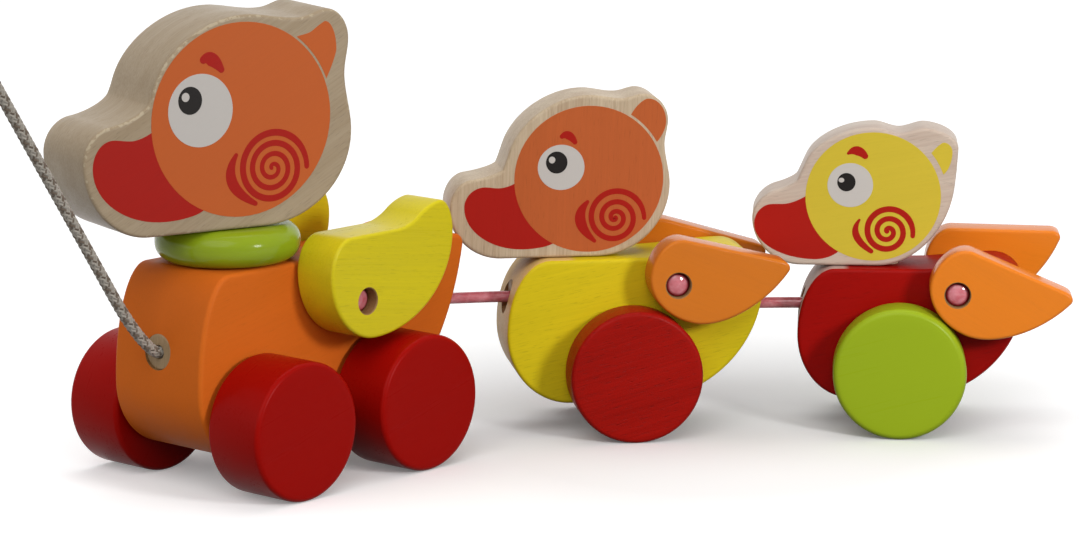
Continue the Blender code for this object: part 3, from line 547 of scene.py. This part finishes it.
head_turn = math.radians(-17)
axle_x, axle_y = front["axis"][:2]
head_axis = (axle_x * math.cos(head_turn) - axle_y * math.sin(head_turn),
             axle_x * math.sin(head_turn) + axle_y * math.cos(head_turn), 0.0)
head_width = {"mother": 0.031, "duckling_1": 0.020, "duckling_2": 0.019}
head_edge, neck_depth = 0.0011, 0.018
head_grain = {"mother": 30, "duckling_1": 88, "duckling_2": 10}
peg_setback, peg_reach = {"duckling_1": 0.0024, "duckling_2": 0.0009}, 0.0065
head_homes = {"mother": (np.array(joints["mother_head_turn"]["pos_m"]), head_axis)}
for duck, setback in peg_setback.items():
    pegs = (middle(duck + "_front_peg") + middle(duck + "_rear_peg"))[:2] / 2
    foot = np.append(pegs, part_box(duck + "_head")[0][2])
    head_homes[duck] = (foot - setback * axes(homes[duck][1])[0], homes[duck][1])
head_lines = {
    "mother": [(-0.0347, 0, 180), (-0.0572, 0.025, 90), (-0.0482, 0.036, 8), (-0.0347, 0.042, 55),
               (-0.0327, 0.047, 72), (-0.0002, 0.0683, 0), (0.0203, 0.0663, 5), (0.0293, 0.0683, -5),
               (0.0368, 0.0585, 270), (0.0353, 0.047, 270), (0.0376, 0.029, 270), (0.0058, 0, 180)],
    "duckling_1": [(-0.028, 0, 180), (-0.0455, 0.017, 90), (-0.0385, 0.027, 8), (-0.0275, 0.0303, 50),
                   (-0.0252, 0.0365, 72), (0.002, 0.0551, 0), (0.014, 0.0538, 5), (0.0208, 0.0551, -5),
                   (0.0289, 0.046, 270), (0.0278, 0.038, 270), (0.0296, 0.0245, 270), (0.005, 0, 180)],
    "duckling_2": [(-0.022, 0, 180), (-0.0386, 0.0163, 90), (-0.0305, 0.0258, 15), (-0.0235, 0.0293, 50),
                   (-0.0205, 0.036, 66), (0.0025, 0.0474, 0), (0.0114, 0.0456, 5), (0.0198, 0.0474, -5),
                   (0.0308, 0.0405, 268), (0.0294, 0.025, 260), (0.004, 0, 180)],
}
# Clear coated beech has a silky sheen over soft streaks. Each head is from another plank: the mother's
# is the darkest, the first duckling's has the strongest streaks and the second's is the palest.
head_finish = {
    "mother": timber("clear_coated_beech", None, 0.34, wear=0.35, light="#B09E85", dark="#9E8A6F", show=0.7),
    "duckling_1": timber("clear_coated_red_beech", None, 0.34, wear=0.15, light="#D0BEA2", dark="#B0967A",
                         show=0.7),
    "duckling_2": timber("clear_coated_white_beech", None, 0.34, light="#CFBFAF", dark="#BCA595", show=0.7),
}
for duck, line in head_lines.items():
    home, width = head_homes[duck], head_width[duck]
    head = made(duck + "_face_plank", head_finish[duck], plank(outline(line), width, head_edge))
    if duck == "mother":
        holes = [turned([(collar_bore, -drill_past), (collar_bore, neck_depth)], (0, 0, 0), upright, 40)]
    else:
        holes = [turned([(peg_bore, -drill_past), (peg_bore, peg_depth)], (peg_setback[duck] + x, 0, 0),
                        upright, 32)
                 for x in (-peg_reach, peg_reach)]
    bored(head, holes)
    body = "mother_head" if duck == "mother" else duck
    placed(head, home, width, head_grain[duck], body, "pale_wood", duck + "_head")


# Painted faces: screen printed on both sides of each head in flat colours. A big disc overlaps a red
# beak, with an eye, an eyebrow, a spiral cheek, a crescent beside it and a patch on the tuft.

def oval(x, z, wide, high, start=0, end=360):
    """Ellipse, or the part of it between two angles, by the cosine and sine of the turn round it."""
    t = np.radians(np.linspace(start, end, 73))[:72 if end - start == 360 else 73]
    return np.stack([x + wide / 2 * np.cos(t), z + high / 2 * np.sin(t)], 1)


def heading(path):
    """Direction of a path at each of its points, as a unit vector."""
    along = np.gradient(path, axis=0)
    return along / np.linalg.norm(along, axis=1)[:, None]


def stroke(path, half):
    """Outline of a brush stroke: both sides of a path at a distance that varies along it, and
    half-round ends."""
    along = heading(path)
    out = np.stack([-along[:, 1], along[:, 0]], 1)
    t = np.linspace(0, math.pi, 8)[1:-1, None]
    tip = path[-1] + half[-1] * (out[-1] * np.cos(t) + along[-1] * np.sin(t))
    tail = path[0] - half[0] * (out[0] * np.cos(t) + along[0] * np.sin(t))
    return np.concatenate([path + out * half[:, None], tip, (path - out * half[:, None])[::-1], tail])


def coil(x, z, radius, turns, fall, thick, thin, start):
    """Spiral stroke: the radius falls to nothing over the turns, by a power of what is left of them,
    while the stroke goes from thick to thin. Its outer end is a little finer."""
    t = np.linspace(0, 0.97, 260)
    angle = math.radians(start) + t * turns * 2 * math.pi
    reach = radius * (1 - t) ** fall
    path = np.stack([x + reach * np.cos(angle), z + reach * np.sin(angle)], 1)
    return stroke(path, (thick + (thin - thick) * t) / 2 * np.minimum(1, 0.75 + 6 * t))


def comma(points, first_half, last_half, swell):
    """Stroke on a parabola through three points. Its half width goes from first to last and swells
    by a half sine wave between them."""
    a, b, c = (np.array(p, float) for p in points)
    t = np.linspace(0, 1, 40)[:, None]
    path = a * (1 - t) * (1 - 2 * t) + b * 4 * t * (1 - t) + c * t * (2 * t - 1)
    return stroke(path, (first_half + (last_half - first_half) * t + swell * np.sin(math.pi * t))[:, 0])


def tuft(disc, gap, low, high, rise, outer, fall):
    """Patch beside a disc: an arc round it at a gap, between two angles, and an outer line from the
    arc's high end, at a heading, through outer points to its low end."""
    x, z, wide, tall = disc
    bow = oval(x, z, wide + 2 * gap, tall + 2 * gap, low, high)
    rim = outline([(*bow[-1], rise), *outer, (*bow[0], fall)], closed=False, steps=12)
    return np.concatenate([bow, rim[1:-1]])


def printed(name, duck, films, material, slot=None):
    """Prints outlines in millimetres on both faces of a head, each standing proud by its level."""
    width, film_edge = head_width[duck], 0.00003
    skins = [plank((line - neck_place[duck]) / 1000, 2 * level, film_edge, side * width / 2)
             for line, level in films for side in (-1, 1)]
    piece = made(name, material, *skins)
    body = "mother_head" if duck == "mother" else duck
    placed(piece, head_homes[duck], width, head_grain[duck], body, slot)


# Printing ink is flat and matt, and so thin that the grain under it shows faintly.
red_ink = timber("red_printing_ink", "#A7190F", 0.45, show=0.4)
white_ink = timber("white_printing_ink", "#C6C0BA", 0.45, show=0.12)
black_ink = timber("black_printing_ink", "#181412", 0.4, show=0.3)
disc_ink = {
    "mother": ("orange_paint", timber("dark_orange_printing_ink", "#C25F2B", 0.48, show=0.25)),
    "duckling_1": ("orange_paint", timber("orange_printing_ink", "#BC5E2F", 0.48, show=0.7)),
    "duckling_2": ("yellow_paint", timber("yellow_printing_ink", "#CFB738", 0.48, show=0.4)),
}
beak_film, disc_film, mark_film, pupil_film, glint_film = 0.00006, 0.00010, 0.00016, 0.00022, 0.00028
neck_place = {"mother": (1.2, 83.9), "duckling_1": (-15.4, 60.8), "duckling_2": (-11.9, 56.1)}
faces = {
    "mother": dict(
        disc=(-1.0, 118.9, 63.4, 62.2), eye=(-15.5, 122.9, 22.6, 23.3), pupil=(-19.1, 126.3, 8.3, 8.9),
        glint=(-20.7, 127.5, 2.7, 2.9), coil=(9.7, 102.5, 12.3, 3.6, 1.0, 2.3, 1.3, -2),
        brow=[((-14.2, 138.9), (-11.3, 138.8), (-8.0, 135.4)), 1.3, 1.1, 1.0],
        crescent=[((-3.2, 107.7), (-4.7, 99.0), (3.4, 91.6)), 0.7, 0.8, 1.1],
        beak=[(-53, 107, 90), (-46, 115.8, 0), (-38, 115.2, 10), (-30, 119.5, 60), (-12, 105, 270),
              (-14, 92, 250), (-28, 88.5, 180)],
        tuft=(0.7, 20, 52, 18, [(24.7, 145.6, 35), (29.2, 148.3, 0), (33.2, 139.2, 270)], 242)),
    "duckling_1": dict(
        disc=(-13.6, 87.4, 50.8, 49.8), eye=(-23.1, 91.6, 15.9, 15.4), pupil=(-24.6, 93.3, 7.3, 7.5),
        glint=(-26.2, 94.2, 2.2, 2.3), coil=(-4.7, 74.0, 10.0, 3.1, 1.2, 2.0, 1.5, -2),
        brow=[((-22.8, 102.1), (-20.6, 102.4), (-18.4, 100.1)), 0.8, 0.85, 0.6],
        crescent=[((-14.1, 79.6), (-16.5, 73.2), (-11.7, 66.2)), 0.65, 0.65, 1.2],
        beak=[(-56, 78.5, 90), (-49, 85.4, 0), (-43.5, 85, 5), (-37, 87.8, 45), (-22, 79, 270),
              (-25, 66.5, 250), (-36, 63.9, 180)],
        tuft=(0.8, 28, 57, 62, [(6.6, 114.3, 0), (12.7, 106.4, 270)], 225)),
    "duckling_2": dict(
        disc=(-9.6, 80.0, 45.8, 44.1), eye=(-17.4, 83.9, 15.4, 15.1), pupil=(-18.7, 84.9, 6.2, 6.3),
        glint=(-20.4, 85.6, 1.9, 1.6), coil=(-4.5, 68.1, 8.6, 2.6, 1.0, 2.1, 1.6, -10),
        brow=[((-18.2, 94.8), (-15.3, 95.7), (-12.5, 93.9)), 0.5, 1.05, 0.8],
        crescent=[((-14.1, 72.0), (-15.1, 66.6), (-10.0, 61.2)), 0.4, 0.8, 0.6],
        beak=[(-49.8, 70.3, 90), (-43.5, 77.1, 0), (-39.5, 77.2, 5), (-31, 81, 40), (-17, 74, 270),
              (-20.5, 61.8, 240), (-29, 58.2, 180)],
        tuft=(2.0, 19, 39, 52, [(13.9, 98.8, 0), (16.9, 95.4, 270)], 215)),
}
for duck, face in faces.items():
    slot, disc_finish = disc_ink[duck]
    printed(duck + "_face_disc", duck, [
        (oval(*face["disc"]), disc_film), (tuft(face["disc"], *face["tuft"]), beak_film)], disc_finish, slot)
    printed(duck + "_face_red", duck, [
        (outline(face["beak"], steps=16), beak_film), (coil(*face["coil"]), mark_film),
        (comma(*face["crescent"]), mark_film), (comma(*face["brow"]), mark_film)], red_ink, "red_paint")
    printed(duck + "_eye_white", duck, [
        (oval(*face["eye"]), mark_film), (oval(*face["glint"]), glint_film)], white_ink)
    printed(duck + "_eye_black", duck, [(oval(*face["pupil"]), pupil_film)], black_ink)


# Wings: small planks of beech, painted all over, yellow for the mother and orange for the ducklings. They
# swing on the wing cord, each by a hole whose wider outer part hides the cord's thick end.

mother_wing = [(-0.0161, 0.0095, 90), (-0.007, 0.0217, 0), (0.0145, 0.0217, 0), (0.025, 0.0253, 36),
               (0.0345, 0.0286, 0), (0.0406, 0.018, 270), (0.004, -0.0127, 180)]
duckling_wing = [(-0.0102, 0.0025, 90), (-0.001, 0.0155, 0), (0.0325, 0.0155, 0), (0.0359, 0.0123, 248),
                 (0.008, -0.0117, 180)]
# Satin paint has a broad soft sheen. Through the mother's yellow the grain shows almost fully.
yellow_wing = timber("yellow_satin_painted_beech", "#D8C71D", 0.30, show=0.9)
orange_wing = timber("orange_satin_painted_beech", "#D3751F", 0.22, show=0.35)
bright_wing = timber("bright_orange_satin_painted_beech", "#E57F20", 0.22, show=0.35)
wing_width = {"mother": 0.0164, "duckling_1": 0.012, "duckling_2": 0.012}
knob_recess = {"mother": 0.003, "duckling_1": 0.0012, "duckling_2": 0.0012}
droops = {"mother": (0.0, 4.0), "duckling_1": (13.5, 16.3), "duckling_2": (23.0, 1.0)}
wing_edge, wing_gap, knob_length, knob_room = 0.0011, 0.0008, 0.0035, 0.0004
cord_hole, knob_hole, hole_mouth, mouth_below, mouth_above = 0.0021, 0.00425, 0.00475, 0.0003, 0.0002
wing_grain = -8
for duck, line, finish, slot in (
        ("mother", mother_wing, yellow_wing, "yellow_paint"),
        ("duckling_1", duckling_wing, orange_wing, "orange_paint"),
        ("duckling_2", duckling_wing, bright_wing, "orange_paint")):
    width, axis, cord_middle = wing_width[duck], homes[duck][1], middle(duck + "_wing_cord")
    face = width / 2
    bottom = face - knob_recess[duck] - knob_length - knob_room
    hole = [(cord_hole, -width), (cord_hole, bottom), (knob_hole, bottom), (knob_hole, face - mouth_below),
            (hole_mouth, face + mouth_above), (hole_mouth, width)]
    inner = body_width[duck] / 2 + wing_gap - within(homes[duck], cord_middle)[1]
    for hand, side, droop in (("left", -1, droops[duck][0]), ("right", 1, droops[duck][1])):
        cosine, sine = math.cos(math.radians(droop)), math.sin(math.radians(droop))
        drooped = outline(line) @ np.array([[cosine, -sine], [sine, cosine]])
        wing = made(f"{duck}_{hand}_wing_plank", finish, plank(drooped, width, wing_edge))
        bored(wing, [turned(hole, (0, 0, 0), (0, side, 0), 48)])
        pivot = cord_middle + side * (inner + width / 2) * np.array(axis)
        placed(wing, (pivot, axis), width, wing_grain - droop, f"{duck}_{hand}_wing", slot,
               f"{duck}_{hand}_wing")


# Soft cord of clear pink plastic: through each body to hold the wings, its ends melted to knobs, and
# between the ducks as links, each drawn once with the curve it has from plug to plug as the train stands.

# Soft plastic is shiny and lets some light through. It is cloudy in patches of 2.4 mm. The outer ring
# of each melted knob is painted dark red, a painted shade next to the wall of its hole.
jelly = bpy.data.materials.new("clear_pink_soft_plastic")
jelly.use_nodes = True
tree = jelly.node_tree
shader = tree.nodes["Principled BSDF"]
place = node(tree, "TexCoord", {}).outputs["Object"]
clouds_per_metre = 420.0
cloud = node(tree, "TexNoise", {"Vector": place, "Scale": clouds_per_metre, "Detail": 2.0}).outputs["Fac"]
cloud = node(tree, "MapRange", {"Value": cloud, "From Min": 0.2, "From Max": 0.8}).outputs[0]
tint = node(tree, "Mix", {0: cloud, 6: linear("#D25864"), 7: linear("#EC98A2")}, data_type="RGBA").outputs[2]
# Painted shade: the knobs' outer rings, marked as rim, take a dark red.
painted_rim_shade = node(tree, "Attribute", {}, attribute_name="rim").outputs["Fac"]
tint = node(tree, "Mix", {0: painted_rim_shade, 6: tint, 7: linear("#7E1420")}, data_type="RGBA").outputs[2]
tree.links.new(tint, shader.inputs["Base Color"])
shader.inputs["Roughness"].default_value = 0.1
shader.inputs["IOR"].default_value = 1.52
shader.inputs["Transmission Weight"].default_value = 0.15
shader.inputs["Subsurface Weight"].default_value = 0.35
shader.inputs["Subsurface Radius"].default_value = (0.002, 0.0008, 0.0008)
shader.inputs["Subsurface Scale"].default_value = 1.0
cord_radius, knob_radius, cap_radius, cap_height = 0.0019, 0.0041, 0.0036, 0.0009
outer_edge, inner_edge, shade_from, shade_over, steps = 0.0005, 0.0006, 0.0029, 0.0007, 40
for duck, width in wing_width.items():
    top = body_width[duck] / 2 + wing_gap + width - knob_recess[duck]
    rise = np.linspace(0.02, 0.94, 12)
    cap = np.stack([cap_radius * rise, top - cap_height * rise ** 2], 1)
    knob = np.concatenate([
        cap, arc(knob_radius, top - cap_height, outer_edge, 5, 1),
        arc(knob_radius, top - knob_length, inner_edge, 5, -1), [(cord_radius, top - knob_length)]])
    profile = np.concatenate([knob, knob[::-1] * (1, -1)])
    rod = made(duck + "_wing_cord_soft", jelly, turned(profile, (0, 0, 0), across, steps))
    # Marks each knob's outer ring, from 2.9 mm out, for its painted shade.
    marked(rod, "rim", np.repeat(np.clip((profile[:, 0] - shade_from) / shade_over, 0, 1), steps))
    home = (middle(duck + "_wing_cord"), homes[duck][1])
    placed(rod, home, 2 * top, 0, duck, "pink_soft_plastic", duck + "_wing_cord")


def tube(path, radius, steps=32):
    """Skin of a round cord: a circle carried along a path, kept upright across its direction."""
    along = heading(path)
    side = np.cross(along, upright)
    side = side / np.linalg.norm(side, axis=1)[:, None]
    turn = np.linspace(0, 2 * math.pi, steps, endpoint=False)[None, :, None]
    spoke = np.cos(turn) * side[:, None] + np.sin(turn) * np.cross(side, along)[:, None]
    return skin(path[:, None] + radius * spoke)


cord_inside = 0.006
for before, after, tail, chest in (
        ("mother", "duckling_1", "mother_tail_plug", "duckling_1_chest_plug"),
        ("duckling_1", "duckling_2", "duckling_1_tail_plug", "duckling_2_chest_plug")):
    u, v = (axes(homes[duck][1])[0] for duck in (before, after))
    start, end = plug_seats[tail] + plug_half * u, plug_seats[chest] - plug_half * v
    leaves, arrives = (math.degrees(math.atan2(way[1], way[0])) for way in (u, v))
    route = [(*(start - cord_inside * u)[:2], leaves), (*start[:2], leaves), (*end[:2], arrives),
             (*(end + cord_inside * v)[:2], arrives)]
    flat = outline(route, closed=False, steps=24)
    path = np.column_stack([flat, np.full(len(flat), start[2])])
    link = made(after + "_link_cord", jelly, tube(path, cord_radius))
    link.data.shade_smooth()
    link.data.set_sharp_from_angle(angle=math.radians(40))
    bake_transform(link)
    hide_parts(after + "_link")
coated(jelly, "mother_tail_knot", "duckling_1_chest_knot", "duckling_1_tail_knot", "duckling_2_chest_knot")


# Plugs: turned rings of pale wood with a rounded outer edge, glued into the holes where the cords leave
# the bodies. The knot behind each plug can't pass the hole in it.

# Turned wood is plain and dull, a little browner than the planks.
plug_wood = timber("pale_turned_wood", None, 0.5, light="#B49A78", dark="#9A7F5E")
plug_radius, plug_edge, plug_hole, plug_mouth, mouth_from = 0.00575, 0.0005, 0.002, 0.0024, 0.0024
plug_grain = 80
profile = np.concatenate([
    arc(plug_radius, plug_half, plug_edge, 4, 1),
    [(plug_radius, -plug_half), (plug_hole, -plug_half), (plug_hole, mouth_from), (plug_mouth, plug_half)]])
for duck, plugs in plug_names.items():
    for name, side in plugs:
        plug = made(name + "_ring", plug_wood, turned(profile, (0, 0, 0), (side, 0, 0), 48, ring=True))
        placed(plug, (plug_seats[name], homes[duck][1]), 2 * plug_radius, plug_grain, duck, "pale_wood", name)


# Pull cord: a round braid of six strands each way in grey cotton, two of each six brown, held taut from
# outside the picture. It ends there in a tight knot and inside the chest in another.

# Cotton is matt, with fuzz of 0.4 mm, and the grooves between its strands are painted dark, a painted shade
# in the creases of the braid.
cotton = bpy.data.materials.new("grey_braided_cotton")
cotton.use_nodes = True
tree = cotton.node_tree
shader = tree.nodes["Principled BSDF"]
tracer = node(tree, "Attribute", {}, attribute_name="tracer").outputs["Fac"]
groove_shade = node(tree, "Attribute", {}, attribute_name="groove_shade").outputs["Fac"]
place = node(tree, "TexCoord", {}).outputs["Object"]
hairs_per_metre = 2600.0
fuzz = node(tree, "TexNoise", {"Vector": place, "Scale": hairs_per_metre, "Detail": 3.0}).outputs["Fac"]
yarn = node(tree, "Mix", {0: tracer, 6: linear("#ADA69B"), 7: linear("#6E6052")}, data_type="RGBA").outputs[2]
# Painted shade: the grooves between the strands take a dark brownish grey.
yarn = node(tree, "Mix", {0: groove_shade, 6: linear("#6A6156"), 7: yarn}, data_type="RGBA").outputs[2]
tone = node(tree, "MapRange", {"Value": fuzz, "To Min": 0.75, "To Max": 1.2}).outputs[0]
yarn = node(tree, "VectorMath", {0: yarn, "Scale": tone}, operation="SCALE").outputs[0]
tree.links.new(yarn, shader.inputs["Base Color"])
bump = node(tree, "Bump", {"Height": fuzz, "Strength": 0.4, "Distance": 0.0002}).outputs[0]
tree.links.new(bump, shader.inputs["Normal"])
shader.inputs["Roughness"].default_value = 0.92
shader.inputs["Sheen Weight"].default_value = 0.2


def braid(around, length, strands=6, pitch=0.0022):
    """Height, painted groove shade and tracer of a braid: two families of strands wind opposite ways,
    each a round ridge by a power of the distance from its middle, and the sign of the product of both
    cosines says which lies on top. The groove shade is 0 deep in the grooves and 1 over most of each ridge."""
    one = strands * around / (2 * math.pi) + length / pitch
    two = strands * around / (2 * math.pi) - length / pitch
    ridge = [1 - np.abs(2 * (k % 1) - 1) ** 2.2 for k in (one, two)]
    over = 0.5 + 0.5 * np.tanh(3 * np.cos(math.pi * one) * np.cos(math.pi * two))
    height = over * ridge[0] + (1 - over) * ridge[1]
    brown = np.where(over > 0.5, np.floor(one) % 3 == 0, np.floor(two) % 3 == 1)
    return height, np.clip(height * 3.5, 0, 1), brown.astype(float)


home = homes["mother"]
exit_place = within(home, plug_seats["cord_plug"])
exit_x, exit_z = exit_place[0] - plug_half, exit_place[2]
pulled = 122.6
route = [(exit_x + cord_inside, exit_z, 180), (exit_x, exit_z, 180),
         (exit_x - 0.018, exit_z + 0.0195, pulled), (exit_x - 0.0733, exit_z + 0.106, pulled)]
flat = outline(route, closed=False, steps=60)
run = np.append(0, np.cumsum(np.linalg.norm(np.diff(flat, axis=0), axis=1)))
even = np.linspace(0, run[-1], 720)
flat = np.stack([np.interp(even, run, flat[:, k]) for k in (0, 1)], 1)
x_axis, side, _ = axes(home[1])
path = home[0] + flat[:, :1] * x_axis + flat[:, 1:] * np.array(upright)
along = heading(path)
around = np.linspace(0, 2 * math.pi, 64, endpoint=False)[None]
height, groove_shade, brown = braid(around, even[:, None])
groove_depth = 0.0004
radius = cord_radius - groove_depth + groove_depth * height
spoke = np.cos(around)[..., None] * side + np.sin(around)[..., None] * np.cross(side, along)[:, None]
rope = made("pull_cord_braid", cotton, skin(path[:, None] + radius[..., None] * spoke))
marked(rope, "tracer", brown)
marked(rope, "groove_shade", groove_shade)
rope.data.shade_smooth()
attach(rope, "mother")
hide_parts("pull_cord")

# The knot is a ball with three soft lobes that twist from pole to pole, braided like the cord.
knot_radius, lobe_depth = 0.0035, 0.10
axis = along[-1]
up = np.linspace(0.03, math.pi - 0.03, 60)[:, None]
height, groove_shade, brown = braid(around, up * knot_radius * np.ones_like(around))
lobes = 1 - lobe_depth * np.abs(np.sin(1.5 * around + 2.2 * np.cos(up))) ** 0.6
size = knot_radius * lobes * (0.97 + 0.03 * height)
spoke = np.cos(around)[..., None] * side + np.sin(around)[..., None] * np.cross(side, axis)
ball = middle("pull_cord_end_knot") + size[..., None] * (
    np.cos(up)[..., None] * axis + np.sin(up)[..., None] * spoke)
knot = made("pull_cord_knot", cotton, skin(ball))
marked(knot, "tracer", brown)
marked(knot, "groove_shade", groove_shade)
knot.data.shade_smooth()
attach(knot, "mother")
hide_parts("pull_cord_end_knot")
coated(cotton, "cord_knot")
